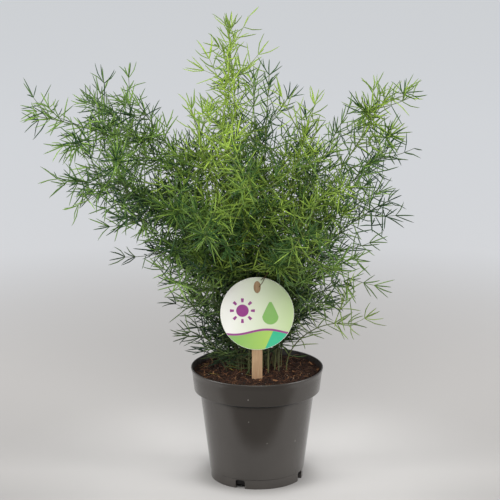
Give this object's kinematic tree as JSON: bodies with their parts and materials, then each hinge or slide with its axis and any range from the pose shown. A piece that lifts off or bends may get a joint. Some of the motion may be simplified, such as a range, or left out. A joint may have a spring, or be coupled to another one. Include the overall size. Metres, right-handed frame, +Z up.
{
  "type": "potted sprengeri asparagus fern",
  "caption": "Round tapered nursery pot of peat holding a fan of arching stems set with fine needle leaves, with a blank round plant label on a flat stick.",
  "frame": {"origin": "on the pot's axis, at the surface that the pot stands on", "axes": "+Z up along the pot's axis, -Y towards the face of the label, +X to the right as the label is seen"},
  "size_m": [0.3601, 0.239, 0.4307],
  "materials": {
    "pot": "satin",
    "soil": "matte",
    "stick": "matte",
    "label": "satin",
    "young_foliage": "satin",
    "mature_foliage": "satin"
  },
  "bodies": {
    "root": {"pot": "pot", "soil": "soil", "label_stick": "stick", "label_disc": "label", "stem_left_arch": "mature_foliage", "stem_left_upper": "mature_foliage", "stem_left_crest": "mature_foliage", "stem_left_front": "mature_foliage", "stem_left_back": "mature_foliage", "stem_left_middle": "mature_foliage", "stem_left_low": "mature_foliage", "stem_left_lowest": "mature_foliage", "stem_centre_left": "young_foliage", "stem_centre_top": "young_foliage", "stem_centre_right": "young_foliage", "stem_centre_back": "mature_foliage", "stem_right_inner": "young_foliage", "stem_right_middle": "mature_foliage", "stem_right_upper": "young_foliage", "stem_right_back": "mature_foliage", "stem_right_side": "mature_foliage", "stem_right_low": "mature_foliage", "stem_right_lowest": "young_foliage", "stem_front_left": "young_foliage", "stem_front_centre": "young_foliage", "stem_front_right": "young_foliage", "stem_back_left": "mature_foliage", "stem_back_right": "mature_foliage"}
  },
  "joints": []
}
